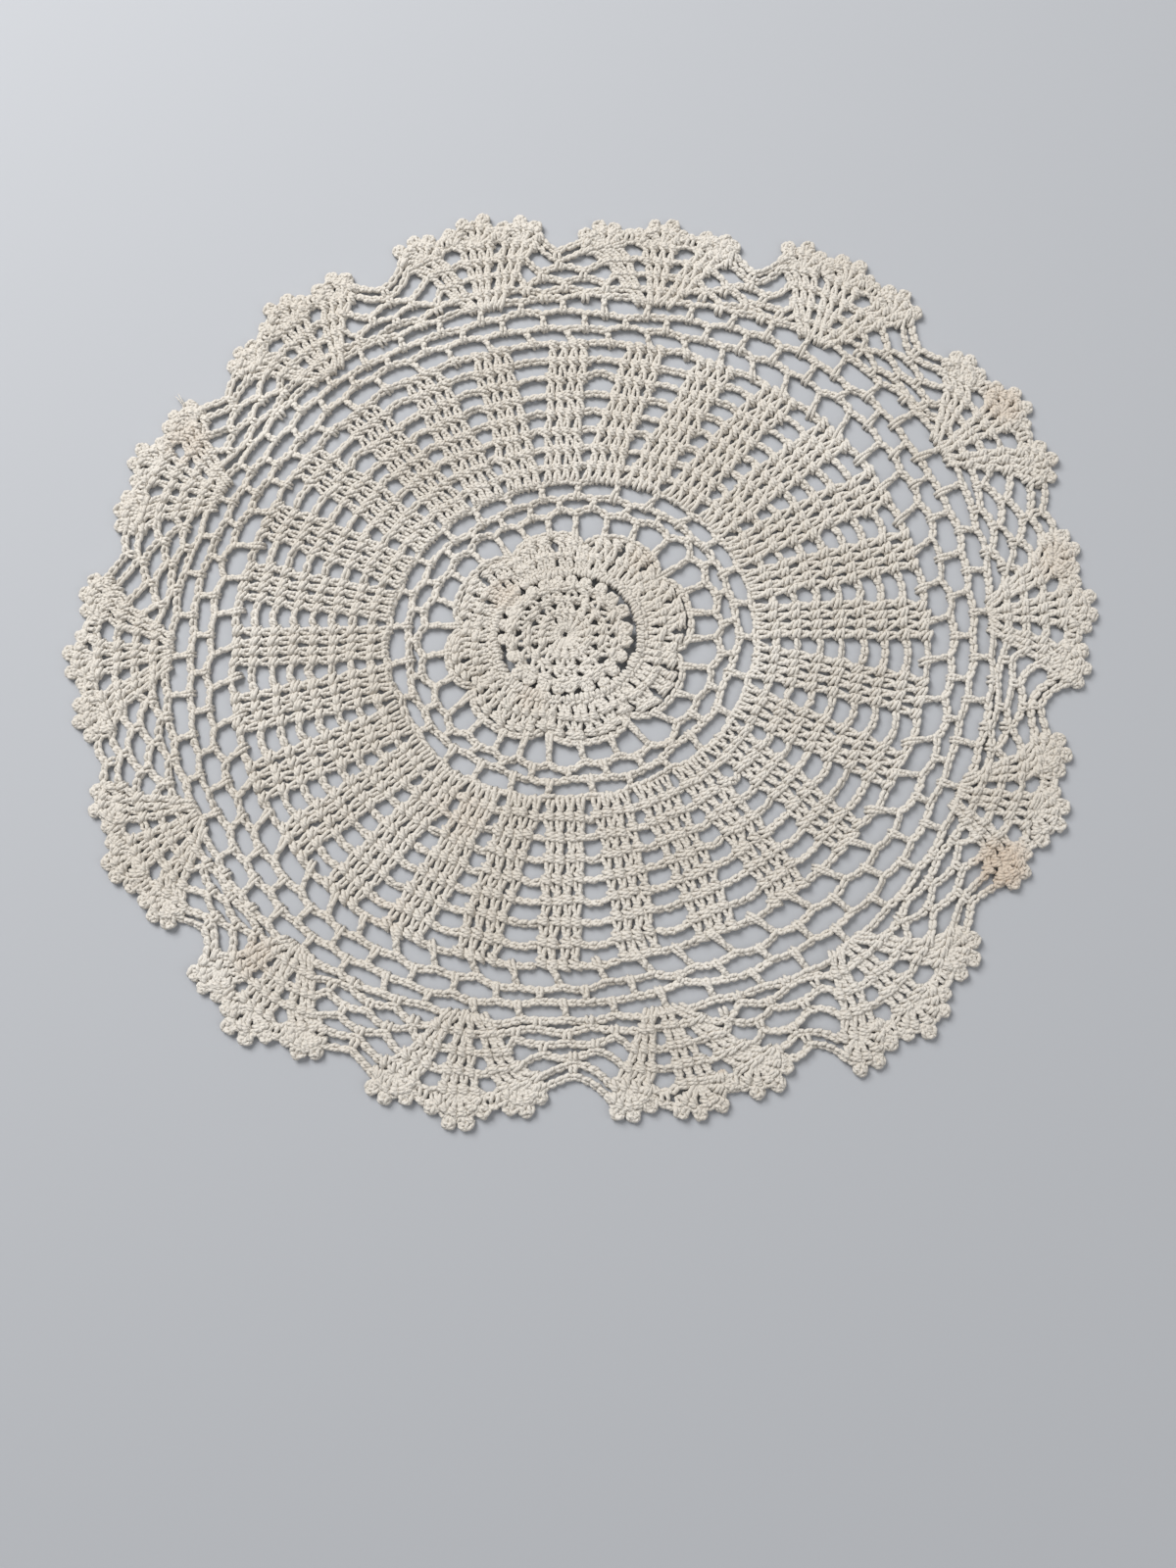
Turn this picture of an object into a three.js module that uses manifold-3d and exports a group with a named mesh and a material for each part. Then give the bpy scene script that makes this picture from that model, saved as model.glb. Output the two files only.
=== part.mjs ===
// A crocheted lace doily, lying flat: a rose in the middle, an inner net, dense blocks of double
// crochet, an outer net and a border of picot fans. It is one piece of cotton, so it is one solid.
// Millimetres and degrees, +Z up. The origin is on the underside, at the middle of the rose.

import * as THREE from 'three';
import { mergeVertices } from 'three/addons/utils/BufferGeometryUtils.js';
import Module from 'manifold-3d';

const netThickness = 2.0;        // chains and posts of the two nets
const denseThickness = 2.4;      // rows of double crochet in the blocks and fans
const petalTop = 3.4;            // the rose's outer petals, at their inner rim
const petalDrop = 0.9;           // how far a petal falls towards its outer edge
const flowerTop = 3.9;           // rim of shells around the rose's inner flower
const dishTop = 3.0;             // ring of eyelets inside that rim
const chainWidth = 2.4;
const postWidth = 2.6;
const lobeRadius = 6.2;          // each fan ends in three round lobes
const lobeTurn = 0.58;           // from a fan's middle lobe to its side lobes, in blocks
const picotHeight = 1.5;         // the small bumps around a lobe
const picotHalfAngle = 11;       // half of a bump's flat top
const sidePicots = [-58, 0, 58]; // angles of the bumps around a side lobe
const middlePicots = [-76, -26, 26, 76];
const notchHalfTurn = 0.14;      // half of the straight chain at a notch, in blocks
const fanFootTurn = 0.22;        // half of a fan's foot, in blocks
const fanSideTurn = 0.7;         // half of a fan's width at its lobes, in blocks
const blockRows = 8;             // rounds of double crochet in a block
const openBlockRows = 1;         // outermost rounds whose windows are wide enough to be open
const windowWidthInner = 0.9;    // gap between two blocks, first round
const windowWidthOuter = 7.2;    // gap between two blocks, last round
const innerNetRows = 3;
const outerNetRows = 3;
const notchRows = [3, 2];        // open cells between two fans, row by row
const notchRowHeight = 0.31;     // of the way from the fan's foot to the notch
const petalEdges = [-1.1, 2.5, 6.1, 9.4, 13.5, 16.2, 20.2, 23.6]; // counted in blocks
const petalInner = 0.62;         // of the way from the middle to the rose's edge
const petalShoulder = 0.86;
const petalGap = 0.05;           // between two petals, of a petal's width
const shellCount = 22;           // small shells around the inner flower
const flowerRadius = 21.6;
const dishRadii = [7.6, 16.2];   // the ring of eyelets, between the middle disk and the shells

// One row for each fan, counter-clockwise from the right. Azimuths of its middle at the blocks'
// inner edge, at their outer edge and at its tip, and of the notch that follows it. Then radii:
// rose, blocks' inner and outer edges, fan's foot, its three lobes, and the notch that follows.
const columns = ['azInner', 'azOuter', 'azTip', 'azNotch', 'rose', 'inner', 'outer', 'foot',
  'lobeA', 'lobeB', 'lobeC', 'notch'];
const fans = [
  [4.7, 2.6, 3.6, 15.0, 37.2, 56.3, 107.5, 127.0, 155.9, 159.4, 157.3, 151.9],
  [26.8, 26.4, 28.4, 40.3, 36.8, 55.9, 106.1, 129.5, 160.2, 161.5, 154.9, 145.0],
  [50.8, 49.7, 53.7, 63.7, 35.1, 53.5, 101.7, 123.0, 155.0, 153.9, 149.9, 133.4],
  [77.8, 74.8, 77.6, 91.6, 32.3, 49.2, 96.0, 111.4, 141.5, 140.8, 136.8, 127.9],
  [105.0, 104.4, 102.2, 116.7, 31.1, 47.5, 94.0, 109.2, 139.4, 142.2, 140.2, 128.4],
  [131.1, 132.0, 130.0, 144.0, 32.1, 48.9, 96.2, 111.9, 139.7, 142.8, 137.9, 131.4],
  [157.4, 157.4, 156.6, 169.0, 33.5, 50.9, 97.2, 114.1, 141.3, 145.2, 142.4, 136.5],
  [182.0, 182.0, 183.1, 196.0, 34.5, 52.3, 98.2, 117.2, 146.1, 149.4, 146.4, 141.0],
  [207.8, 206.2, 208.4, 220.6, 35.0, 52.8, 100.0, 119.0, 147.7, 149.5, 145.3, 135.5],
  [232.2, 230.0, 231.7, 244.0, 34.3, 51.6, 100.5, 119.0, 146.6, 149.6, 143.2, 135.6],
  [256.4, 254.8, 258.1, 271.6, 32.7, 49.1, 97.9, 113.7, 143.8, 145.0, 138.1, 128.5],
  [285.4, 282.8, 287.1, 300.2, 32.6, 49.0, 96.6, 112.4, 141.1, 145.1, 144.3, 139.1],
  [312.8, 310.2, 313.0, 326.4, 34.7, 52.1, 99.9, 121.3, 153.5, 156.6, 151.4, 142.4],
  [339.4, 336.8, 339.3, 351.2, 36.5, 55.0, 104.7, 124.0, 151.0, 156.1, 151.6, 142.6],
];
const fanCount = fans.length;
const blockCount = 2 * fanCount;

// A smooth closed curve through evenly spaced values; azimuths gain a full turn each lap.
function smoothThrough(valueAt, x) {
  const i = Math.floor(x);
  const t = x - i;
  const [a, b, c, d] = [valueAt(i - 1), valueAt(i), valueAt(i + 1), valueAt(i + 2)];
  return b + 0.5 * t * (c - a + t * (2 * a - 5 * b + 4 * c - d + t * (3 * (b - c) + d - a)));
}

function fanValue(name, index) {
  const lap = Math.floor(index / fanCount);
  const value = fans[index - lap * fanCount][columns.indexOf(name)];
  return name.startsWith('az') ? value + 360 * lap : value;
}

const around = (name, turn) => smoothThrough((i) => fanValue(name, i), turn / 2);

// Fans stand on the even blocks and notches on the odd ones.
function rimAzimuth(turn) {
  const valueAt = (i) => (i % 2 === 0 ? fanValue('azTip', i / 2) : fanValue('azNotch', (i - 1) / 2));
  return smoothThrough(valueAt, turn);
}

// The rings that divide the doily, from the middle outwards, each as (azimuth, radius) at a turn.
const rings = [
  (turn) => [around('azInner', turn), 0],
  (turn) => [around('azInner', turn), around('rose', turn)],
  (turn) => [around('azInner', turn), around('inner', turn)],
  (turn) => [around('azOuter', turn), around('outer', turn)],
  (turn) => [0.6 * around('azOuter', turn) + 0.4 * rimAzimuth(turn), around('foot', turn)],
  (turn) => [rimAzimuth(turn), around('notch', turn - 1)],
];

function polar(azimuth, radius) {
  const angle = THREE.MathUtils.degToRad(azimuth);
  return new THREE.Vector2(radius * Math.cos(angle), radius * Math.sin(angle));
}

// A point of the lace: turn counts blocks around, ring counts the rings outwards.
function place(turn, ring) {
  const low = Math.min(Math.floor(ring), rings.length - 2);
  const [azimuthA, radiusA] = rings[low](turn);
  const [azimuthB, radiusB] = rings[low + 1](turn);
  const t = ring - low;
  return polar(azimuthA + t * (azimuthB - azimuthA), radiusA + t * (radiusB - radiusA));
}

// An open cell of the lace between two turns and two rings, less the yarn at its sides.
function openCell(turnA, turnB, ringA, ringB, sideYarn, endYarn, sides) {
  const corners = [place(turnA, ringA), place(turnB, ringA), place(turnB, ringB), place(turnA, ringB)];
  const width = 0.5 * (corners[0].distanceTo(corners[1]) + corners[3].distanceTo(corners[2]));
  const height = 0.5 * (corners[0].distanceTo(corners[3]) + corners[1].distanceTo(corners[2]));
  const u = 0.5 * sideYarn / width;
  const v = 0.5 * endYarn / height;
  const bow = sides === 6 ? 0.07 : 0;
  const outline = sides === 6
    ? [[u, 0.5], [u + bow, v], [1 - u - bow, v], [1 - u, 0.5], [1 - u - bow, 1 - v], [u + bow, 1 - v]]
    : [[u, v], [1 - u, v], [1 - u, 1 - v], [u, 1 - v]];
  return outline.map(([s, t]) => {
    const near = corners[0].clone().lerp(corners[1], s);
    const far = corners[3].clone().lerp(corners[2], s);
    return near.lerp(far, t);
  });
}

function innerNetHoles() {
  const holes = [];
  const ring = 2 - 1 / innerNetRows;
  for (let block = 0; block < blockCount; block++) {
    holes.push(openCell(block - 0.5, block + 0.5, ring, 2, postWidth, chainWidth, 4));
  }
  return holes;
}

function blockWindows() {
  const holes = [];
  for (let row = blockRows - openBlockRows; row < blockRows; row++) {
    const width = THREE.MathUtils.lerp(windowWidthInner, windowWidthOuter, row / (blockRows - 1));
    for (let block = 0; block < blockCount; block++) {
      const ringA = 2 + row / blockRows;
      const ringB = 2 + (row + 1) / blockRows;
      const pitch = place(block, ringB).distanceTo(place(block + 1, ringB));
      holes.push(openCell(block, block + 1, ringA, ringB, pitch - width, chainWidth, 4));
    }
  }
  return holes;
}

function outerNetHoles() {
  const holes = [];
  for (let row = 0; row < outerNetRows; row++) {
    const stagger = row % 2 === 1 ? 0.25 : 0;
    const ringA = 3 + row / outerNetRows;
    for (let cell = 0; cell < 2 * blockCount; cell++) {
      const turn = cell / 2 + stagger;
      holes.push(openCell(turn, turn + 0.5, ringA, ringA + 1 / outerNetRows, postWidth, chainWidth, 6));
    }
  }
  return holes;
}

function notchHoles() {
  const holes = [];
  for (let fan = 0; fan < fanCount; fan++) {
    notchRows.forEach((cells, row) => {
      const first = 2 * fan + 1 - cells / 4;
      const ringA = 4 + row * notchRowHeight;
      for (let cell = 0; cell < cells; cell++) {
        const turn = first + cell / 2;
        holes.push(openCell(turn, turn + 0.5, ringA, ringA + notchRowHeight, postWidth, chainWidth, 4));
      }
    });
  }
  return holes;
}

// A round lobe of a fan, with a dip between each two of its picots.
function lobeOutline(turn, tipRadius, picots) {
  const azimuth = rimAzimuth(turn);
  const centre = polar(azimuth, tipRadius - lobeRadius);
  const points = [];
  picots.forEach((angle, i) => {
    if (i > 0) {
      const dip = 0.5 * (angle + picots[i - 1]);
      points.push(centre.clone().add(polar(azimuth + dip, lobeRadius - picotHeight)));
    }
    for (const side of [-picotHalfAngle, picotHalfAngle]) {
      points.push(centre.clone().add(polar(azimuth + angle + side, lobeRadius)));
    }
  });
  return points;
}

function rim() {
  const points = [];
  for (let fan = 0; fan < fanCount; fan++) {
    const lobes = ['lobeA', 'lobeB', 'lobeC'].map((name) => fanValue(name, fan));
    lobes.forEach((tip, i) => {
      const turn = 2 * fan + (i - 1) * lobeTurn;
      points.push(...lobeOutline(turn, tip, i === 1 ? middlePicots : sidePicots));
      if (i < 2) {
        const dip = 0.5 * (tip + lobes[i + 1]) - lobeRadius - picotHeight;
        points.push(polar(rimAzimuth(turn + 0.5 * lobeTurn), dip));
      }
    });
    for (const turn of [-notchHalfTurn, notchHalfTurn]) {
      points.push(polar(rimAzimuth(2 * fan + 1 + turn), fanValue('notch', fan)));
    }
  }
  return points;
}

function plate(outline, bottom, top, holes = []) {
  const shape = new THREE.Shape(outline);
  shape.holes = holes.map((hole) => new THREE.Path(hole));
  const geometry = new THREE.ExtrudeGeometry(shape, { depth: top - bottom, bevelEnabled: false });
  return geometry.translate(0, 0, bottom);
}

// A plate whose upper edge is rounded off, for the petals.
function softPlate(outline, bottom, top, round) {
  const shape = new THREE.Shape(outline);
  const geometry = new THREE.ExtrudeGeometry(shape, {
    depth: top - bottom - round,
    bevelThickness: round,
    bevelSize: round,
    bevelOffset: -round,
    bevelSegments: 1,
  });
  return geometry.translate(0, 0, bottom);
}

// Half of a block's width at a ring, counted in blocks.
function blockHalfTurn(block, ring, windowWidth) {
  const pitch = place(block, ring).distanceTo(place(block + 1, ring));
  return 0.5 - 0.5 * windowWidth / pitch;
}

function blockPad(block) {
  const near = blockHalfTurn(block, 2, windowWidthInner);
  const far = blockHalfTurn(block, 3, windowWidthOuter);
  const outline = [place(block - near, 2), place(block + near, 2), place(block + far, 3),
    place(block - far, 3)];
  return plate(outline, netThickness / 2, denseThickness);
}

function fanPad(fan) {
  const turn = 2 * fan;
  const lobes = ['lobeA', 'lobeB', 'lobeC'].map((name) => fanValue(name, fan) - lobeRadius);
  const outline = [place(turn - fanFootTurn, 4), place(turn + fanFootTurn, 4),
    polar(rimAzimuth(turn + fanSideTurn), lobes[2]), polar(rimAzimuth(turn), lobes[1]),
    polar(rimAzimuth(turn - fanSideTurn), lobes[0])];
  return plate(outline, netThickness / 2, denseThickness);
}

// A petal of the rose: arched outside, highest at its inner rim.
function petal(index) {
  const start = petalEdges[index];
  const end = index + 1 < petalEdges.length ? petalEdges[index + 1] : petalEdges[0] + blockCount;
  const at = (across, ring) => place(start + across * (end - start), ring);
  const outline = [at(petalGap, petalInner), at(0.5, petalInner), at(1 - petalGap, petalInner)];
  for (const across of [1 - petalGap, 0.84, 0.68, 0.5, 0.32, 0.16, petalGap]) {
    const arc = 1 - (2 * across - 1) ** 2;
    outline.push(at(across, petalShoulder + (1 - petalShoulder) * Math.sqrt(arc)));
  }
  const geometry = softPlate(outline, netThickness / 2, petalTop, 0.5);
  const inner = at(0.5, petalInner).length();
  const outer = at(0.5, 1).length();
  const points = geometry.attributes.position;
  for (let i = 0; i < points.count; i++) {
    const reach = (Math.hypot(points.getX(i), points.getY(i)) - inner) / (outer - inner);
    if (points.getZ(i) > netThickness) {
      points.setZ(i, points.getZ(i) - petalDrop * THREE.MathUtils.clamp(reach, 0, 1));
    }
  }
  return geometry;
}

function shellRim() {
  const outline = [];
  for (let i = 0; i < 3 * shellCount; i++) {
    const dip = i % 3 === 0 ? 1.2 : 0;
    outline.push(polar((i * 120) / shellCount, flowerRadius - dip));
  }
  return outline;
}

// The sunk ring inside the flower, turned about the vertical axis.
function dish() {
  const [near, far] = dishRadii;
  const profile = [[near + 0.8, dishTop], [far - 0.8, dishTop], [far, flowerTop + 0.1],
    [near, flowerTop + 0.1], [near + 0.8, dishTop]];
  const outline = profile.map(([radius, height]) => new THREE.Vector2(radius, height));
  return new THREE.LatheGeometry(outline, 24).rotateX(Math.PI / 2);
}

const module = await Module();
module.setup();

function solidOf(geometry) {
  geometry.deleteAttribute('normal');
  geometry.deleteAttribute('uv');
  const merged = mergeVertices(geometry, 1e-4);
  return new module.Manifold(new module.Mesh({
    numProp: 3,
    vertProperties: Float32Array.from(merged.attributes.position.array),
    triVerts: Uint32Array.from(merged.index.array),
  }));
}

function geometryOf(solid) {
  const mesh = solid.getMesh();
  const geometry = new THREE.BufferGeometry();
  geometry.setAttribute('position', new THREE.BufferAttribute(mesh.vertProperties, 3));
  geometry.setIndex(new THREE.BufferAttribute(mesh.triVerts, 1));
  geometry.computeVertexNormals();
  return geometry;
}

function doilySolid() {
  const holes = [...innerNetHoles(), ...blockWindows(), ...outerNetHoles(), ...notchHoles()];
  let solid = solidOf(plate(rim(), 0, netThickness, holes));
  for (let block = 0; block < blockCount; block++) {
    solid = solid.add(solidOf(blockPad(block)));
  }
  for (let fan = 0; fan < fanCount; fan++) {
    solid = solid.add(solidOf(fanPad(fan)));
  }
  for (let index = 0; index < petalEdges.length; index++) {
    solid = solid.add(solidOf(petal(index)));
  }
  const flower = solidOf(softPlate(shellRim(), netThickness / 2, flowerTop, 0.6));
  return solid.add(flower.subtract(solidOf(dish())));
}

const cotton = new THREE.MeshStandardMaterial({ color: 0xd8d0c0, roughness: 0.95, metalness: 0 });
const doily = new THREE.Mesh(geometryOf(doilySolid()), cotton);
doily.name = 'doily';

const laceDoily = new THREE.Group();
laceDoily.add(doily);

export default laceDoily;
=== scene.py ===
import math

import bpy
import numpy as np
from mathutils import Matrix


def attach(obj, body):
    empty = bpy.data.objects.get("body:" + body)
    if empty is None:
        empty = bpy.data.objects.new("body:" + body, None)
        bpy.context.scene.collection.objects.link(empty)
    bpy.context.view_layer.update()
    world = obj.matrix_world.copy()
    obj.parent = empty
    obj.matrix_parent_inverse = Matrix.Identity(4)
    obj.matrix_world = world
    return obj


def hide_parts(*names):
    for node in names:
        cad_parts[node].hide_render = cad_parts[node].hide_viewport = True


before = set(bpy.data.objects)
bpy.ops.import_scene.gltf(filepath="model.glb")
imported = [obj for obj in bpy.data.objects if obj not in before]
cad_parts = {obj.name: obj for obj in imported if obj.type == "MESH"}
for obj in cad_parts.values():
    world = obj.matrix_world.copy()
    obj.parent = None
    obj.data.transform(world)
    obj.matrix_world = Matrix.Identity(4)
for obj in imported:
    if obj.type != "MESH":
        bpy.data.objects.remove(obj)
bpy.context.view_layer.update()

mm = 0.001
scene = bpy.context.scene
scene.view_settings.view_transform = "Standard"

# camera: held above the near edge and tilted a little towards the far one
cameraSetup = {
    "place": (6.7, -104.0, 337.7),  # mm
    "tilt": 10.0,  # degrees away from straight down
    "lens": 27.05,
    "clip": 0.01,  # m
}


def makeCamera():
    data = bpy.data.cameras.new("camera")
    data.lens = cameraSetup["lens"]
    data.clip_start = cameraSetup["clip"]
    camera = bpy.data.objects.new("camera", data)
    camera.location = [v * mm for v in cameraSetup["place"]]
    camera.rotation_euler = (math.radians(cameraSetup["tilt"]), 0, 0)
    scene.collection.objects.link(camera)
    scene.camera = camera


makeCamera()
print("camera set")

# the plan of the lace, in mm and degrees: one row for each fan, counter-clockwise from the right.
# First come azimuths: of the fan's middle at the blocks' inner and outer edges, of its tip, and of
# the notch after it. Then come radii: of the rose, of the blocks' inner and outer edges, of the
# fan's foot, of its three lobes, and of the notch after it.
planColumns = ("azInner", "azOuter", "azTip", "azNotch", "rose", "inner", "outer", "foot",
               "lobeA", "lobeB", "lobeC", "notch")
planRows = (
    (4.7, 2.6, 3.6, 15.0, 37.2, 56.3, 107.5, 127.0, 155.9, 159.4, 157.3, 151.9),
    (26.8, 26.4, 28.4, 40.3, 36.8, 55.9, 106.1, 129.5, 160.2, 161.5, 154.9, 145.0),
    (50.8, 49.7, 53.7, 63.7, 35.1, 53.5, 101.7, 123.0, 155.0, 153.9, 149.9, 133.4),
    (77.8, 74.8, 77.6, 91.6, 32.3, 49.2, 96.0, 111.4, 141.5, 140.8, 136.8, 127.9),
    (105.0, 104.4, 102.2, 116.7, 31.1, 47.5, 94.0, 109.2, 139.4, 142.2, 140.2, 128.4),
    (131.1, 132.0, 130.0, 144.0, 32.1, 48.9, 96.2, 111.9, 139.7, 142.8, 137.9, 131.4),
    (157.4, 157.4, 156.6, 169.0, 33.5, 50.9, 97.2, 114.1, 141.3, 145.2, 142.4, 136.5),
    (182.0, 182.0, 183.1, 196.0, 34.5, 52.3, 98.2, 117.2, 146.1, 149.4, 146.4, 141.0),
    (207.8, 206.2, 208.4, 220.6, 35.0, 52.8, 100.0, 119.0, 147.7, 149.5, 145.3, 135.5),
    (232.2, 230.0, 231.7, 244.0, 34.3, 51.6, 100.5, 119.0, 146.6, 149.6, 143.2, 135.6),
    (256.4, 254.8, 258.1, 271.6, 32.7, 49.1, 97.9, 113.7, 143.8, 145.0, 138.1, 128.5),
    (285.4, 282.8, 287.1, 300.2, 32.6, 49.0, 96.6, 112.4, 141.1, 145.1, 144.3, 139.1),
    (312.8, 310.2, 313.0, 326.4, 34.7, 52.1, 99.9, 121.3, 153.5, 156.6, 151.4, 142.4),
    (339.4, 336.8, 339.3, 351.2, 36.5, 55.0, 104.7, 124.0, 151.0, 156.1, 151.6, 142.6),
)
plan = {name: np.array(column) for name, column in zip(planColumns, zip(*planRows))}
plan["azRim"] = np.stack([plan["azTip"], plan["azNotch"]], axis=1).ravel()
fanCount = len(planRows)
blockCount = 2 * fanCount
footLean = 0.4  # how far a fan's foot follows its tip sideways
lobeTurn = 0.58  # from a fan's middle lobe to its side lobes, in blocks
lobeEnd = 1.25  # how far past the side lobes the curve of the tips goes on, in lobe turns


def around(name, x):  # a smooth closed curve through a column; azimuths gain a turn each lap
    values = plan[name]
    lap = 360.0 if name.startswith("az") else 0.0
    x = np.asarray(x, float)
    i = np.floor(x).astype(int)
    t = x - i
    a, b, c, d = (values[(i + k) % len(values)] + lap * ((i + k) // len(values))
                  for k in (-1, 0, 1, 2))
    return b + 0.5 * t * (c - a + t * (2 * a - 5 * b + 4 * c - d + t * (3 * (b - c) + d - a)))


# azimuth and radius of a ring: 0 middle, 1 rose's edge, 2 and 3 blocks' inner and outer edges,
# 4 fans' feet, 5 notches. Turns count the blocks: even ones meet a fan, odd ones a notch
def ringCurve(number, turn):
    if number == 0:
        return around("azInner", turn / 2), np.zeros_like(turn)
    if number < 3:
        return around("azInner", turn / 2), around(("rose", "inner")[number - 1], turn / 2)
    if number == 3:
        return around("azOuter", turn / 2), around("outer", turn / 2)
    if number == 4:
        azimuth = (1 - footLean) * around("azOuter", turn / 2) + footLean * around("azRim", turn)
        return azimuth, around("foot", turn / 2)
    return around("azRim", turn), around("notch", (turn - 1) / 2)


def polar(azimuth, radius):
    angle = np.radians(azimuth)
    return np.stack([radius * np.cos(angle), radius * np.sin(angle)], axis=-1)


def place(turn, ring):  # a point of the lace between the rings of the plan
    turn, ring = np.broadcast_arrays(np.asarray(turn, float), np.asarray(ring, float))
    low = np.clip(np.floor(ring), 0, 4).astype(int)
    azimuth, radius = np.zeros(turn.shape), np.zeros(turn.shape)
    for k in range(5):
        azimuthA, radiusA = ringCurve(k, turn)
        azimuthB, radiusB = ringCurve(k + 1, turn)
        t = ring - k
        azimuth = np.where(low == k, azimuthA + t * (azimuthB - azimuthA), azimuth)
        radius = np.where(low == k, radiusA + t * (radiusB - radiusA), radius)
    return polar(azimuth, radius)


def fanPlace(fan, across, out):  # across a fan in blocks, and out from its foot to its tips
    across, out = np.broadcast_arrays(np.asarray(across, float), np.asarray(out, float))
    turn = 2 * fan + across
    footAzimuth, foot = ringCurve(4, turn)
    a, b, c = (plan[name][fan % fanCount] for name in ("lobeA", "lobeB", "lobeC"))
    s = np.clip(across / lobeTurn, -lobeEnd, lobeEnd)
    tip = b + s * (c - a) / 2 + s * s * ((a + c) / 2 - b)
    azimuth = footAzimuth + out * (around("azRim", turn) - footAzimuth)
    return polar(azimuth, foot + out * (tip - foot))


# yarn and stitches
yarn = {
    "radius": 0.67,  # mm
    "radiusSpread": 0.05,  # share of the radius
    "sides": 5,
    "endTaper": 0.7,
    "layer": 0.66,  # height of the lowest strands' middle
    "lowest": 0.02,  # nothing lies under this height
    "axis": 0.3,  # height over the layer that a rolled stitch turns about
    "spread": (0.04, 0.016, 0.07),  # unevenness of a strand: across, along and up
    "chain": 2.7,  # length of a chain stitch
    "chainWidth": 2.4,
    "chainRoll": (40, 8),  # degrees: the most of a whole chain, and the spread of its stitches
}

# strands of a stitch as (across in widths, along from foot to head, height in mm)
overLeg = ((0.12, -0.16, -0.10), (0.28, 0.03, 0.22), (0.25, 0.22, 0.42), (0.17, 0.44, 0.52),
           (0.02, 0.64, 0.72), (-0.28, 0.82, 0.70), (-0.60, 1.00, -0.02))
underLeg = ((-0.10, -0.16, -0.10), (-0.27, 0.03, 0.22), (-0.24, 0.24, 0.36), (-0.17, 0.46, 0.28),
            (-0.10, 0.68, 0.12), (0.18, 0.86, 0.05))
footedOver = ((0.22, -0.18, -0.45), (0.28, -0.08, 0.90), (0.26, 0.16, 0.72), (0.17, 0.42, 0.74),
              (0.02, 0.64, 0.90), (-0.28, 0.82, 0.76), (-0.60, 1.00, -0.02))
footedUnder = ((-0.20, -0.18, -0.45), (-0.28, -0.08, 0.90), (-0.25, 0.18, 0.62), (-0.17, 0.44, 0.45),
               (-0.10, 0.68, 0.12), (0.18, 0.86, 0.05))
wrap = ((-0.34, 0.44, -0.10), (-0.14, 0.53, 0.60), (0.15, 0.62, 0.62), (0.38, 0.72, -0.05))
headLoops = (
    ((0.58, 0.74, 0.15), (0.22, 0.84, 1.00), (-0.18, 0.94, 1.16), (-0.58, 1.10, 0.25)),
    ((0.64, 1.00, 0.15), (0.18, 1.02, 0.95), (-0.24, 1.08, 1.02), (-0.66, 1.12, 0.10)),
)
stitches = {
    "double": (underLeg, wrap, overLeg, *headLoops),
    "footed": (footedUnder, wrap, footedOver, *headLoops),
    "spoke": (footedUnder, wrap, footedOver, headLoops[0]),
    "post": (
        ((-0.22, -0.26, -0.35), (-0.27, -0.08, 1.10), (-0.22, 0.20, 0.80), (-0.16, 0.48, 0.45),
         (0.13, 0.74, 0.35), (0.20, 1.02, 0.10)),
        ((0.24, -0.26, -0.35), (0.25, -0.08, 1.05), (0.20, 0.20, 0.60), (0.12, 0.46, 0.15),
         (-0.16, 0.72, 0.60), (-0.20, 1.02, 0.25)),
        ((-0.30, 0.36, -0.05), (-0.14, 0.46, 0.86), (0.16, 0.58, 0.86), (0.30, 0.70, 0.00)),
        ((-0.40, 0.98, -0.05), (0.00, 0.93, 0.95), (0.40, 1.00, -0.05)),
    ),
    "tie": (
        ((-0.30, -0.64, -0.30), (-0.34, -0.34, 0.92), (-0.32, 0.24, 1.02), (-0.20, 0.86, 0.10)),
        ((0.32, -0.62, -0.30), (0.34, -0.30, 0.92), (0.32, 0.28, 0.92), (0.22, 0.90, 0.05)),
        ((-0.48, 0.74, -0.05), (0.00, 0.80, 0.90), (0.48, 0.94, -0.05)),
    ),
    "link": (
        ((0.04, -0.24, -0.15), (-0.13, 0.06, 0.45), (-0.26, 0.40, 0.52), (-0.25, 0.76, 0.25),
         (-0.08, 1.14, -0.20)),
        ((-0.04, -0.18, -0.10), (0.12, 0.12, 0.50), (0.26, 0.46, 0.48), (0.25, 0.80, 0.20),
         (0.08, 1.16, -0.20)),
    ),
}
segments = {3: 3, 4: 3, 5: 4, 6: 5, 7: 6}  # pieces of tube for a strand with so many points
strands = {}  # for each piece, its strands' points in mm with their thickness


# lays one stitch from each foot to each head; roll turns it about its length, in degrees,
# lean moves its head across by so many widths, and taper is its width at the foot
def lay(piece, kind, foot, head, width, rng, height=0.0, rise=0.0, roll=0.0, lean=0.0, taper=1.0):
    foot, head = np.atleast_2d(foot), np.atleast_2d(head)

    def column(value):
        return np.broadcast_to(np.asarray(value, float), len(foot))[:, None]

    width, height, rise, lean = column(width), column(height), column(rise), column(lean)
    roll = np.radians(column(roll))
    way = head - foot
    side = np.stack([way[:, 1], -way[:, 0]], axis=1) / np.linalg.norm(way, axis=1, keepdims=True)
    for strand in stitches[kind]:
        shape = (len(foot), len(strand))
        across, out, up = (np.array(v) + rng.normal(0, spread, shape)
                           for v, spread in zip(zip(*strand), yarn["spread"]))
        narrow = taper + (1 - taper) * np.clip(out, 0, 1)
        across = (across * narrow + lean * (out - 0.5)) * width
        up = up - yarn["axis"]
        turned = across * np.cos(roll) - up * np.sin(roll)
        up = across * np.sin(roll) + up * np.cos(roll)
        points = np.empty((*shape, 3))
        along, aside = out[..., None] * way[:, None], turned[..., None] * side[:, None]
        points[..., :2] = foot[:, None] + along + aside
        points[..., 2] = yarn["layer"] + yarn["axis"] + height + rise * out + up
        strands.setdefault(piece, []).append((points, 1.0))


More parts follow.
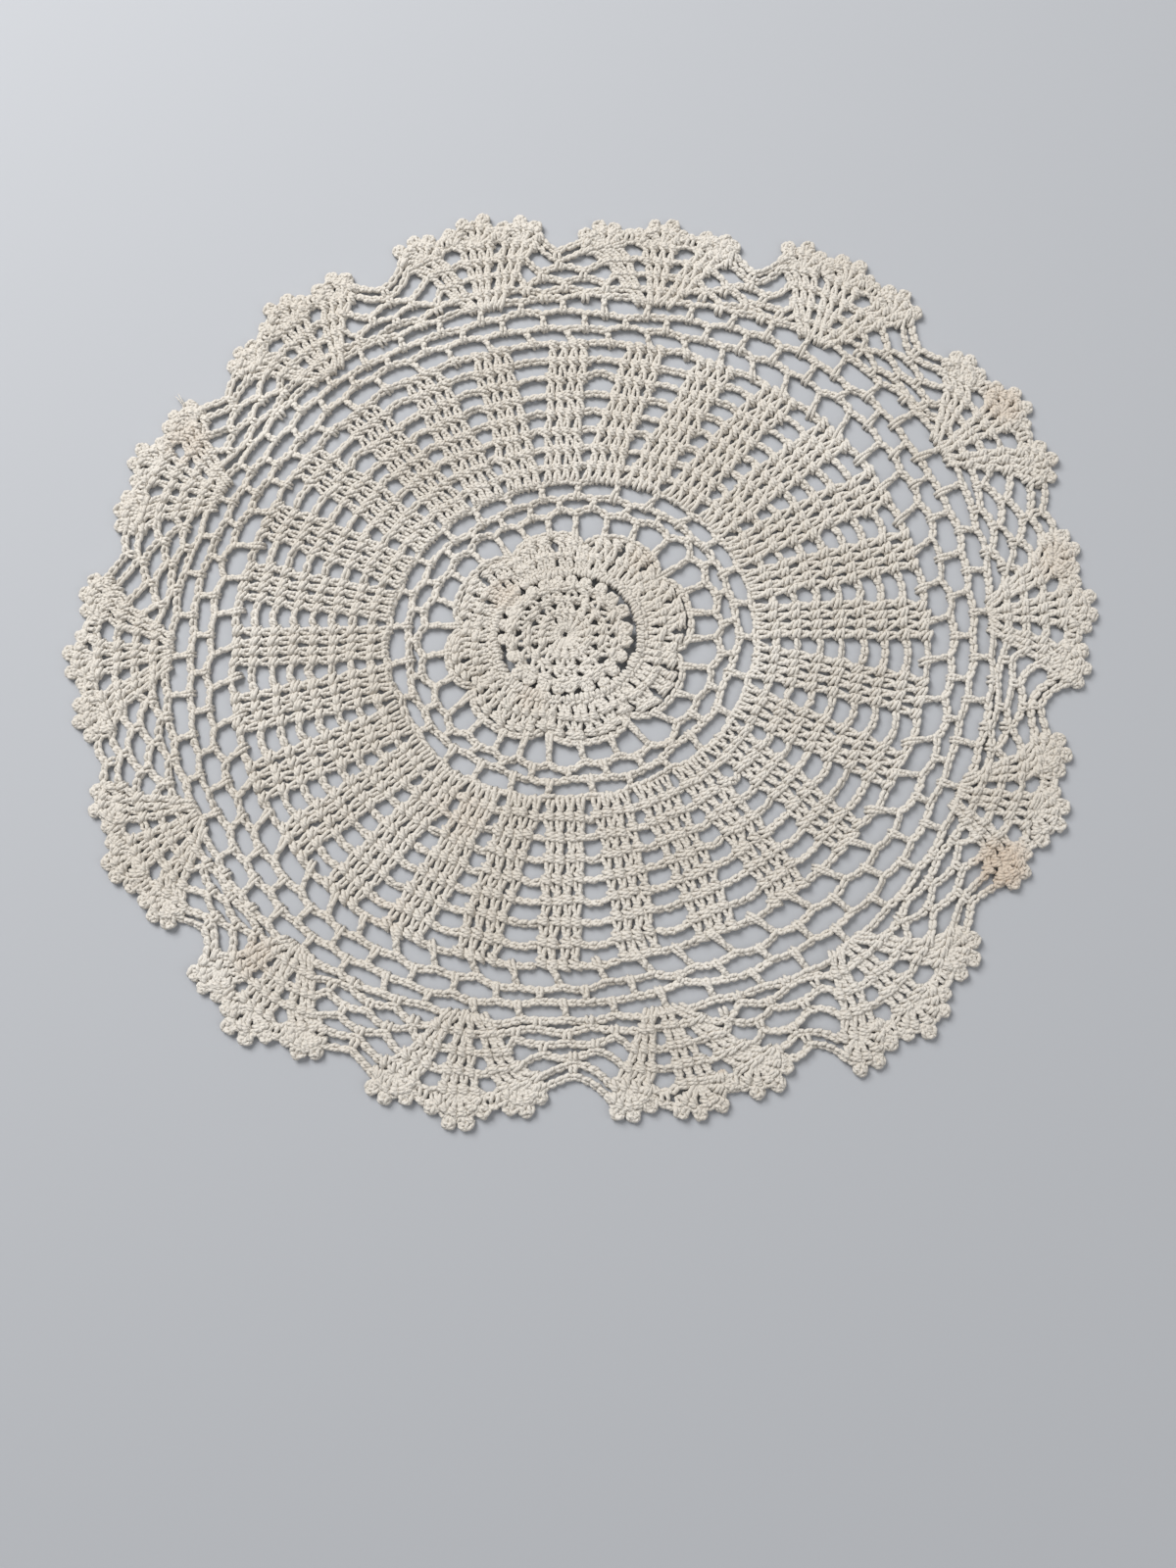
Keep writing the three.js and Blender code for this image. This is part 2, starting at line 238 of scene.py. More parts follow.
# lays whole chain stitches along a path of places
def chain(piece, path, rng, height=0.0, rise=0.0, width=yarn["chainWidth"], stitch=yarn["chain"]):
    path = np.asarray(path, float)
    run = np.concatenate([[0], np.cumsum(np.linalg.norm(np.diff(path, axis=0), axis=1))])
    count = max(1, round(run[-1] / stitch))
    at = np.linspace(0, run[-1], count + 1)
    places = np.stack([np.interp(at, run, path[:, k]) for k in (0, 1)], axis=1)
    share = np.arange(count) / count
    most, spread = yarn["chainRoll"]
    roll = rng.uniform(-most, most) + rng.normal(0, spread, count)
    lay(piece, "link", places[:-1], places[1:], width, rng, height + rise * share, rise / count, roll)


def bow(a, b, amount, count=5):  # an arc from a to b, bulging to the right of its way
    a, b = np.asarray(a, float), np.asarray(b, float)
    t = np.linspace(0, 1, count)[:, None]
    side = np.array([b[1] - a[1], a[0] - b[0]]) / np.linalg.norm(b - a)
    return a + t * (b - a) + 4 * t * (1 - t) * amount * side


def unit(v):
    return v / np.linalg.norm(v, axis=-1, keepdims=True)


# picots: a small ring of chains on an edge, with one more across its middle; sizes in its radii
picotShape = {
    "gap": 15,  # degrees at each side of its foot
    "chainWidth": 1.35,
    "chain": 1.44,
    "core": (-0.9, 0.5),  # from its foot outwards
    "coreWidth": 1.2,
    "swing": 25,  # spread in degrees
    "coreRoll": 15,
}


def picot(piece, centre, outward, radius, height, rng):
    start = math.degrees(math.atan2(outward[1], outward[0])) + 180 + rng.normal(0, picotShape["swing"])
    turns = np.linspace(picotShape["gap"], 360 - picotShape["gap"], 13)
    chain(piece, centre + polar(start + turns, radius), rng, height,
          width=picotShape["chainWidth"] * radius, stitch=picotShape["chain"] * radius)
    inner, outer = (centre + k * radius * unit(outward) for k in picotShape["core"])
    lay(piece, "link", inner, outer, picotShape["coreWidth"] * radius, rng, height,
        roll=rng.normal(0, picotShape["coreRoll"]))


# middle of the rose
flower = {
    "disk": (16, 1.8, 7.1),  # stitches, inner and outer radius in mm
    "diskWidth": 3.2,
    "diskTaper": 0.28,
    "spokes": ((16, 7.3, 11.2), (20, 12.0, 15.0)),
    "spokeWidths": (3.6, 4.0),
    "bands": (11.4, 15.3),
    "bandWidth": 2.8,
    "knots": 24,
    "rootRadii": (15.7, 16.9),
    "rootSpread": 3.8,  # degrees each way
    "rootWidth": 2.5,
    "knotPlace": (17.5, 0.45),  # mm from the middle, and its spread
    "knotRadius": 1.3,
    "knotSwing": 1.2,  # spread in degrees
    "heights": (1.15, 1.25, 1.4, 1.55),
    "rise": 0.1,
    "slip": 0.08,  # spread in stitches
    "swing": (1.5, 2.5),  # degrees from a stitch's foot to its head, and the spread
    "stretch": 0.047,  # longer along X than along Y
}


def flowerPlace(azimuth, radius):  # slightly oval, more so at the rim
    azimuth, radius = np.broadcast_arrays(np.asarray(azimuth, float), np.asarray(radius, float))
    share = flower["stretch"] * np.clip(radius / 18, 0, 1.2)
    return polar(azimuth, radius * (1 + share * np.cos(np.radians(2 * azimuth))))


def ringOfStitches(piece, kind, ring, wide, height, rng, start=0.0, taper=1.0):
    count, inner, outer = ring
    turn = (start + np.arange(count) + rng.normal(0, flower["slip"], count)) * 360 / count
    swing = rng.normal(*flower["swing"], count)
    feet = flowerPlace(turn, inner + rng.normal(0, 0.1, count))
    heads = flowerPlace(turn + swing, outer + rng.normal(0, 0.15, count))
    lay(piece, kind, feet, heads, wide, rng, height, flower["rise"], taper=taper)


def ringChain(piece, radius, height, rng):
    path = flowerPlace(np.linspace(0, 360, 49), radius + rng.normal(0, 0.12, 49))
    chain(piece, path, rng, height, width=flower["bandWidth"])


def makeFlower():
    rng = np.random.default_rng(11)
    name = "inner_flower"
    heights = flower["heights"]
    ringOfStitches(name, "double", flower["disk"], flower["diskWidth"], heights[0], rng,
                   taper=flower["diskTaper"])
    for k, ring in enumerate(flower["spokes"]):
        ringOfStitches(name, "spoke", ring, flower["spokeWidths"][k], heights[k + 1], rng, 0.5)
        ringChain(name, flower["bands"][k], heights[k + 1] + flower["rise"], rng)
    count = flower["knots"]
    inner, outer = flower["rootRadii"]
    spread = flower["rootSpread"] * np.array([-1, 1])
    swing = flower["knotSwing"]
    reach, reachSpread = flower["knotPlace"]
    for knot in range(count):
        middle = (knot + 0.5) * 360 / count + rng.normal(0, swing)
        feet, heads = flowerPlace(middle + spread, inner), flowerPlace(middle + 0.8 * spread, outer)
        lay(name, "tie", feet, heads, flower["rootWidth"], rng, heights[3] - 0.2, 0.2)
        outward = flowerPlace(middle, 1.0)
        centre = flowerPlace(middle + rng.normal(0, swing), reach + rng.normal(0, reachSpread))
        radius = flower["knotRadius"] * rng.normal(1, 0.1)
        picot(name, centre, outward, radius, heights[3] + rng.normal(0.1, 0.12), rng)


# outer petals of the rose
petals = {
    "edges": (-1.1, 2.5, 6.1, 9.4, 13.5, 16.2, 20.2, 23.6, 26.9),  # in blocks
    "rings": (0.605, 0.665, 0.80, 0.955),
    "arc": 1.035,
    "arcInset": 0.03,  # share of the petal's width
    "sides": (0.02, 0.98),
    "shoulder": 0.82,
    "rows": (("tie", 1.75), ("double", 2.3), ("double", 2.9)),  # stitch and its width in mm
    "heights": (1.25, 1.2, 0.95, 0.5),
    "slip": 0.2,  # spread in widths
    "lean": 0.12,
}


def petalArch(across, ring):  # the petal's edge falls away at both sides
    arch = np.sqrt(np.clip(1 - (2 * across - 1) ** 2, 0, 1))
    drop = (1 - petals["shoulder"]) * (1 - arch)
    share = (ring - petals["rings"][0]) / (1 - petals["rings"][0])
    return ring - drop * np.clip(share, 0, 1.2)


def makePetals():
    rng = np.random.default_rng(12)
    for start, end in zip(petals["edges"][:-1], petals["edges"][1:]):
        makePetal("rose_petals", start, end, rng)


def makePetal(piece, start, end, rng):
    heights, rings, inset = petals["heights"], petals["rings"], petals["arcInset"]

    def at(across, ring):
        return place(start + across * (end - start), petalArch(across, ring))

    for row, (kind, wide) in enumerate(petals["rows"]):
        middle = (rings[row] + rings[row + 1]) / 2
        steps = np.diff(at(np.linspace(0, 1, 9), np.full(9, middle)), axis=0)
        length = np.linalg.norm(steps, axis=1).sum()
        count = round(length / wide)
        share = (np.arange(count) + 0.5) / count
        slip = rng.normal(0, petals["slip"] * wide / length, (2, count))
        feet = at(share + slip[0], rings[row] + rng.normal(0, 0.004, count))
        heads = at(share + slip[1], rings[row + 1] + rng.normal(0, 0.008, count))
        lay(piece, kind, feet, heads, wide, rng, heights[row], heights[row + 1] - heights[row],
            lean=rng.normal(0, petals["lean"], count))
    across = np.linspace(inset, 1 - inset, 15)
    chain(piece, at(across, np.full(15, petals["arc"])), rng, heights[3] - 0.1)
    for side in petals["sides"]:
        path = at(np.full(4, side), np.linspace(rings[2], petals["arc"], 4))
        chain(piece, path, rng, heights[2], heights[3] - heights[2])


# the open nets
nets = {
    "innerRows": (1.0, 1.39, 1.68, 2.0),
    "outerRows": (3.0, 3.34, 3.67, 4.0),
    "jitter": 0.45,  # mm
    "lean": 0.05,  # in blocks, forward from foot to head
    "bows": (0.26, 0.2),  # how far a chain is pulled out, in heights of its round, inner and outer net
    "bowSpread": 0.25,  # mm
    "postWidth": 2.4,
}


# one round of posts and chains; feet is None for a round that stands on nothing but the plan
def netRound(piece, turns, ringA, ringB, rng, pull, feet=None):
    count = len(turns)
    lean, jitter = nets["lean"], nets["jitter"]
    heads = place(turns + lean, ringB) + rng.normal(0, jitter, (count, 2))
    if feet is None:
        feet = place(turns - lean, ringA) + rng.normal(0, jitter, (count, 2))
    lay(piece, "post", feet, heads, nets["postWidth"], rng)
    height = np.linalg.norm(heads - feet, axis=1)
    middles = []
    for k in range(count):
        amount = pull * height[k] + rng.normal(0, nets["bowSpread"])
        arc = bow(heads[k], heads[(k + 1) % count], amount)
        chain(piece, arc, rng)
        middles.append(arc[2])
    return np.array(middles)


def petalEdgeRing(turn):  # the ring at which the rose ends
    edges, inset = np.array(petals["edges"]), petals["arcInset"]
    turn = (turn - edges[0]) % blockCount + edges[0]
    k = np.clip(np.searchsorted(edges, turn, side="right") - 1, 0, len(edges) - 2)
    across = np.clip((turn - edges[k]) / (edges[k + 1] - edges[k]), inset, 1 - inset)
    return petalArch(across, np.full_like(across, petals["arc"]))


def makeInnerNet():
    rng = np.random.default_rng(13)
    rows = nets["innerRows"]
    feet = None
    for row, offset in enumerate((0.5, 1.0, 0.5)):
        turns = np.arange(blockCount) + offset
        start = petalEdgeRing(turns) if row == 0 else rows[row]
        if row == 2:  # the middles lie half a block ahead of the posts before them
            feet = np.roll(feet, 1, axis=0)
        feet = netRound("inner_net", turns, start, rows[row + 1], rng, nets["bows"][0], feet)


def makeOuterNet():
    rng = np.random.default_rng(14)
    rows = nets["outerRows"]
    feet = None
    for row, offset in enumerate((0.0, 0.25, 0.5)):
        turns = np.arange(2 * blockCount) / 2 + offset
        feet = netRound("open_net", turns, rows[row], rows[row + 1], rng, nets["bows"][1], feet)


# blocks of double crochet
blocks = {
    "rows": 8,
    "stitches": 4,
    "start": 0.02,  # of the way out, where the first round stands
    "widths": (11.6, 12.8),  # mm, first and last round
    "leastGap": (0.9, 3.4),  # mm to the next block, first round and fourth round on
    "gapRows": 3,
    "slip": 0.26,  # mm, how unevenly the stitches stand
    "sway": 0.016,  # of a whole round, in blocks
    "lean": 0.12,
    "barBow": (0.7, 0.35),  # mm, and its spread
    "barOverlap": 0.01,  # in blocks
}


def blockEdge(block, side, row):  # the edge of a block at a round, in turns
    share = row / blocks["rows"]
    ring = 2 + max(share, blocks["start"])
    pitch = np.linalg.norm(place(block - 0.5, ring) - place(block + 0.5, ring), axis=-1)
    narrow, wide = blocks["widths"]
    a, b = blocks["leastGap"]
    least = a + (b - a) * min(row / blocks["gapRows"], 1)
    gap = np.maximum(pitch - narrow - share * (wide - narrow), least)
    return block + side * (0.5 - 0.5 * gap / pitch), ring


def makeBlocks():
    rng = np.random.default_rng(15)
    for block in range(blockCount):
        name = "blocks_a" if block < fanCount else "blocks_b"
        sway = rng.normal(0, blocks["sway"], blocks["rows"] + 1)
        for row in range(blocks["rows"]):
            makeBlockRow(name, block, row, sway, rng)
            makeBar("open_net" if row else name, block, row, rng)


def makeBlockRow(piece, block, row, sway, rng):
    count = blocks["stitches"]
    share = (np.arange(count) + 0.5) / count
    ends = []
    for k in (row, row + 1):
        low, ring = blockEdge(block, -1, k)
        high, _ = blockEdge(block, 1, k)
        middles = place(low + share * (high - low) + sway[k], np.full(count, ring))
        ends.append(middles + rng.normal(0, blocks["slip"], (count, 2)))
    wide = np.linalg.norm(ends[1][-1] - ends[1][0]) / (count - 1)
    kind = "double" if row else "footed"
    lay(piece, kind, *ends, wide, rng, lean=rng.normal(0, blocks["lean"], count))


def makeBar(piece, block, row, rng):  # the chain from a block's round to the next block's
    low, ring = blockEdge(block, 1, row + 1)
    high, _ = blockEdge(block + 1, -1, row + 1)
    a, b = place(low - blocks["barOverlap"], ring), place(high + blocks["barOverlap"], ring)
    chain(piece, bow(a, b, rng.normal(*blocks["barBow"])), rng)


# border of fans
fans = {
    "rounds": (0.0, 0.15, 0.32, 0.49, 0.66),  # from the foot out to the tips
    "counts": (2, 3, 3, 4),
    "columnTurns": (0.14, 0.25, 0.33, 0.41, 0.545),  # from the middle column to a side one, in blocks
    "halfWidths": (2.1, 2.6, 3.6, 4.8, 6.1),  # mm
    "slip": 0.2,  # mm
    "lean": 0.1,
    "barBows": (0.3, 0.5, 0.7, 1.8),  # mm, outward
    "barOverlap": 0.85,  # where a bar starts, of a column's half width
    "shellStitches": 6,
    "shellSpread": 70,  # degrees each way
    "shellReach": (0.7, 5.4),  # mm to the stitches' feet and heads
    "shellWidth": 2.75,
    "shellTaper": 0.45,
    "edgeReach": 6.4,
    "edgeSpread": 83,
    "edgeWidth": 2.7,
    "edgeChain": 2.4,
    "picotPlace": 7.5,
    "picotRadius": 1.65,
    "picotRim": 0.6,  # yarn outside a picot's radius
    "sidePicots": (-40, 0, 40),  # degrees
    "middlePicots": (-58, -20, 20, 58),
    "heights": (0.15, 0.2),  # mm, of the shells and of the edge with its picots
    "dipTurn": 60,  # where the chain to the next lobe leaves, in degrees
    "dipBow": 1.4,
    "dipTie": (2.4, 2.6),  # length and width of the tie that holds it, in mm
}
lobes = {}  # how to find a place in each lobe, by fan and column


def mmToTurns(fan, across, out, amount):
    step = np.linalg.norm(fanPlace(fan, across + 0.1, out) - fanPlace(fan, across, out))
    return amount * 0.1 / step


def makeFans():
    rng = np.random.default_rng(16)
    for fan in range(fanCount):
        name = "fans_a" if fan < fanCount // 2 else "fans_b"
        for column in (-1, 0, 1):
            makeColumn(name, fan, column, rng)
            makeLobe(name, fan, column, rng)
        makeFanBars(name, fan, rng)


def makeColumn(piece, fan, column, rng):
    widths = fans["halfWidths"]
    for row, count in enumerate(fans["counts"]):
        share = (np.arange(count) + 0.5) / count * 2 - 1
        ends = []
        for k in (row, row + 1):
            out = fans["rounds"][k]
            middle = column * fans["columnTurns"][k]
            half = mmToTurns(fan, middle, out, widths[k])
            middles = fanPlace(fan, middle + share * half, np.full(count, out))
            ends.append(middles + rng.normal(0, fans["slip"], (count, 2)))
        kind = "double" if row else "footed"
        lay(piece, kind, *ends, 2 * widths[row + 1] / count, rng,
            lean=rng.normal(0, fans["lean"], count), taper=widths[row] / widths[row + 1])


def makeLobe(piece, fan, column, rng):
    apex = fanPlace(fan, column * fans["columnTurns"][-1], fans["rounds"][-1])
    tip = fanPlace(fan, column * lobeTurn, 1.0)
    reach = np.linalg.norm(tip - apex)
    forward = (tip - apex) / reach
    side = np.array([forward[1], -forward[0]])  # clockwise round the doily
    scale = reach / (fans["picotPlace"] + fans["picotRadius"] + fans["picotRim"])

    def toward(degrees, radius):
        angle = np.radians(degrees)
        way = np.cos(angle)[..., None] * forward + np.sin(angle)[..., None] * side
        return apex + radius * scale * way

    lobes[fan, column] = toward
    low, high = fans["heights"]
    count = fans["shellStitches"]
    angles = np.linspace(-1, 1, count) * fans["shellSpread"] + rng.normal(0, 3, count)
    inner, outer = fans["shellReach"]
    heads = toward(angles + rng.normal(0, 2, count), outer)
    lay(piece, "double", toward(angles, inner), heads, fans["shellWidth"], rng, low, 0.1,
        taper=fans["shellTaper"])
    edge = np.linspace(-1, 1, 9) * fans["edgeSpread"]
    chain(piece, toward(edge, fans["edgeReach"]), rng, high, width=fans["edgeWidth"],
          stitch=fans["edgeChain"])
    picots = fans["sidePicots"] if column else fans["middlePicots"]
    for angle in np.array(picots) + rng.normal(0, 3, len(picots)):
        centre = toward(angle, fans["picotPlace"] + rng.normal(0, 0.2))
        picot(piece, centre, centre - apex, fans["picotRadius"] * rng.normal(1, 0.07), high, rng)


def makeFanBars(piece, fan, rng):  # chains between the columns, and between the lobes
    for side in (-1, 1):
        for k, out in enumerate(fans["rounds"][1:], 1):
            half = mmToTurns(fan, 0, out, fans["halfWidths"][k]) * fans["barOverlap"]
            a = fanPlace(fan, side * half, out)
            b = fanPlace(fan, side * (fans["columnTurns"][k] - half), out)
            chain(piece, bow(a, b, side * fans["barBows"][k - 1]), rng)
        start = lobes[fan, min(0, side)](-fans["dipTurn"], fans["edgeReach"])
        end = lobes[fan, max(0, side)](fans["dipTurn"], fans["edgeReach"])
        dip = bow(start, end, fans["dipBow"])
        chain(piece, dip, rng, 0.1)
        length, width = fans["dipTie"]
        lay(piece, "tie", dip[2] - length * unit(dip[2]), dip[2], width, rng)


# the small net that narrows between two fans: ties on the arches of the row before
notches = {
    "rings": (4.02, 4.2, 4.41, 4.62, 4.80, 5.0),
    "ties": ((-0.25, 0.25), (-0.47, 0.0, 0.47), (-0.24, 0.24), (0.0,), (0.0,)),  # blocks from the notch
    "tieLength": 1.9,
    "tieWidth": 2.2,
    "slip": 0.3,  # mm
    "overlap": 0.7,  # mm, with the column beside it
    "sags": (-1.5, 3.0),  # mm, the most inwards and outwards
    "fullSag": 12,  # mm, the least length of a chain that bends all the way
}


def fanSide(fan, side, row):  # where a row of the notch meets the fan beside it
    if row == len(fans["rounds"]):
        return lobes[fan % fanCount, side](-side * fans["dipTurn"], fans["edgeReach"])
    out = fans["rounds"][row]
    middle = side * fans["columnTurns"][row]
    half = mmToTurns(fan, middle, out, fans["halfWidths"][row] - notches["overlap"])
    return fanPlace(fan, middle + side * half, out)


def makeNotches():
    rng = np.random.default_rng(18)
    name = "notch_nets"
    for fan in range(fanCount):
        for row, ties in enumerate(notches["ties"]):
            turns = 2 * fan + 1 + np.array(ties)
            feet = place(turns, notches["rings"][row])
            feet = feet + rng.normal(0, notches["slip"], (len(ties), 2))
            heads = feet + notches["tieLength"] * unit(feet)
            lay(name, "tie", feet, heads, notches["tieWidth"], rng)
            goal = np.linalg.norm(place(2 * fan + 1, notches["rings"][row + 1]))
            route = [fanSide(fan, 1, row + 1), *heads, fanSide(fan + 1, -1, row + 1)]
            for a, b in zip(route[:-1], route[1:]):
                bend = min(1, np.linalg.norm(b - a) / notches["fullSag"])
                sag = (goal - np.linalg.norm((a + b) / 2)) * bend
                chain(name, bow(a, b, np.clip(sag, *notches["sags"])), rng)


# the thread's cut end, frayed in two, on the rim
looseEnd = {
    "thickness": 0.3,  # of a whole thread
    "threads": (
        ((-116.2, 71.5, 0.9), (-117.6, 73.3, 2.0), (-119.0, 75.1, 2.0), (-120.3, 76.5, 1.2)),
        ((-116.0, 71.7, 1.0), (-117.1, 73.5, 2.2), (-118.3, 75.4, 2.1), (-119.5, 77.3, 1.3)),
    ),
}


def makeLooseEnd():
    for thread in looseEnd["threads"]:
        strands["fans_a"].append((np.array([thread]), looseEnd["thickness"]))


for make in (makeFlower, makePetals, makeInnerNet, makeOuterNet, makeBlocks, makeFans, makeNotches,
             makeLooseEnd):
    make()
    print(make.__name__, "laid")


# from strands to closed tubes
def splineWeights(points, count):  # a smooth curve through so many points, as a matrix
    weights = np.zeros((count + 1, points))
    for row, x in enumerate(np.linspace(0, points - 1, count + 1)):
        i = min(int(x), points - 2)
        t = x - i
        basis = (-0.5 * t + t * t - 0.5 * t ** 3, 1 - 2.5 * t * t + 1.5 * t ** 3,
                 0.5 * t + 2 * t * t - 1.5 * t ** 3, -0.5 * t * t + 0.5 * t ** 3)
        for k, b in zip((i - 1, i, i + 1, i + 2), basis):
            weights[row, min(max(k, 0), points - 1)] += b
    return weights


def sweep(paths, radius, sides):  # tubes around the paths: points, faces and their uv
    tubes, count, _ = paths.shape
    tangent = np.gradient(paths, axis=1)
    tangent /= np.linalg.norm(tangent, axis=2, keepdims=True)
    normal = np.empty_like(paths)
    first = np.cross(tangent[:, 0], [0.31, 0.17, 0.94])  # a slant that no strand starts along
    normal[:, 0] = first / np.linalg.norm(first, axis=1, keepdims=True)
    for k in range(1, count):
        n = normal[:, k - 1]
        n = n - (n * tangent[:, k]).sum(1, keepdims=True) * tangent[:, k]
        normal[:, k] = n / np.linalg.norm(n, axis=1, keepdims=True)
    binormal = np.cross(tangent, normal)
    angle = np.arange(sides) * 2 * math.pi / sides
    taper = np.ones(count)
    taper[[0, -1]] = yarn["endTaper"]
    reach = (radius[:, None] * taper)[:, :, None, None]
    vertices = paths[:, :, None] + reach * (np.cos(angle)[:, None] * normal[:, :, None]
                                            + np.sin(angle)[:, None] * binormal[:, :, None])
    index = np.arange(tubes * count * sides).reshape(tubes, count, sides)
    turned = np.roll(index, -1, axis=2)
    quads = np.stack([index[:, :-1], turned[:, :-1], turned[:, 1:], index[:, 1:]], axis=-1)
    caps = np.concatenate([index[:, 0, ::-1], index[:, -1]])
    step = np.linalg.norm(np.diff(paths, axis=1), axis=2)
    run = np.concatenate([np.zeros((tubes, 1)), np.cumsum(step, axis=1)], axis=1)
    u = np.stack([np.arange(sides), np.arange(sides) + 1], axis=-1) / sides
    uv = np.empty(quads.shape + (2,))
    uv[..., 0] = u[:, [0, 1, 1, 0]]
    uv[..., 0:2, 1] = run[:, :-1, None, None]
    uv[..., 2:4, 1] = run[:, 1:, None, None]
    capUv = np.zeros(caps.shape + (2,))
    return vertices.reshape(-1, 3), quads.reshape(-1, 4), caps, uv.reshape(-1, 2), capUv.reshape(-1, 2)


def makeMesh(name, parts, rng):
    vertices, loops, sizes, uvs = [], [], [], []
    start = 0
    for points, thickness in parts:
        weights = splineWeights(points.shape[1], segments[points.shape[1]])
        paths = np.einsum("nk,mkc->mnc", weights, points)
        radius = yarn["radius"] * thickness * rng.normal(1, yarn["radiusSpread"], len(paths))
        v, quads, caps, uv, capUv = sweep(paths, radius, yarn["sides"])
        vertices.append(v)
        loops += [quads.ravel() + start, caps.ravel() + start]
        sizes += [np.full(len(quads), 4), np.full(len(caps), yarn["sides"])]
        uvs += [uv, capUv]
        start += len(v)
    vertices = np.concatenate(vertices)
    vertices[:, 2] = np.maximum(vertices[:, 2], yarn["lowest"])
    loops, sizes, uvs = np.concatenate(loops), np.concatenate(sizes), np.concatenate(uvs)
    mesh = bpy.data.meshes.new(name)
    mesh.vertices.add(len(vertices))
    mesh.vertices.foreach_set("co", (vertices * mm).ravel())
    mesh.loops.add(len(loops))
    mesh.loops.foreach_set("vertex_index", loops)
    mesh.polygons.add(len(sizes))
    mesh.polygons.foreach_set("loop_start", np.concatenate([[0], np.cumsum(sizes)[:-1]]))
    mesh.update()
    mesh.uv_layers.new(name="yarn").uv.foreach_set("vector", uvs.ravel())
    mesh.validate()
    mesh.shade_smooth()
    piece = bpy.data.objects.new(name, mesh)
    scene.collection.objects.link(piece)
    print(name, int((sizes - 2).sum()), "triangles")
    return piece


# cotton
cotton = {
    "light": (0.70, 0.66, 0.60),
    "dark": (0.575, 0.525, 0.455),
    "tan": (0.52, 0.40, 0.29),
    "roughness": 0.9,
    "sheen": 0.2,
    "sheenRoughness": 0.5,
    "specular": 0.15,
    "patches": 26.0,  # scale of the slow change of colour, in steps a metre
    "patchContrast": (2.6, -0.85),  # times and plus
    "patchShare": (0.75, -0.12),
    "mottle": 700.0,  # scale of the quick change of colour
    "mottleShare": 0.5,
    "ply": 1.1,  # mm between two turns of the thread's plies
    "plies": 2,
    "plyBump": 0.5,
    "plyDepth": 0.15,  # mm
    "fibre": 2200.0,
    "fibreBump": 0.65,
    "fibreDepth": 0.14,
    "stainEdge": 0.35,  # where a stain starts to fade, of its reach
    "stainRags": 180.0,
    "stainRagged": (0.7, 0.65),
}
stains = (  # x and y in mm, reach in mm, strength
    (125.0, -69.0, 11.0, 0.62),
    (133.7, 73.8, 9.0, 0.38),
    (-18.2, 12.2, 7.0, 0.26),
    (-10.6, -19.5, 6.0, 0.18),
    (22.9, 23.0, 6.0, 0.16),
    (-30.2, -53.1, 10.0, 0.16),
    (-50.7, -81.4, 9.0, 0.14),
    (-115.0, 60.8, 9.0, 0.22),
    (-87.9, -93.9, 8.0, 0.22),
    (146.9, 23.0, 9.0, 0.18),
    (43.7, -124.5, 2.2, 0.55),
)
stainHeight = 2.0  # mm


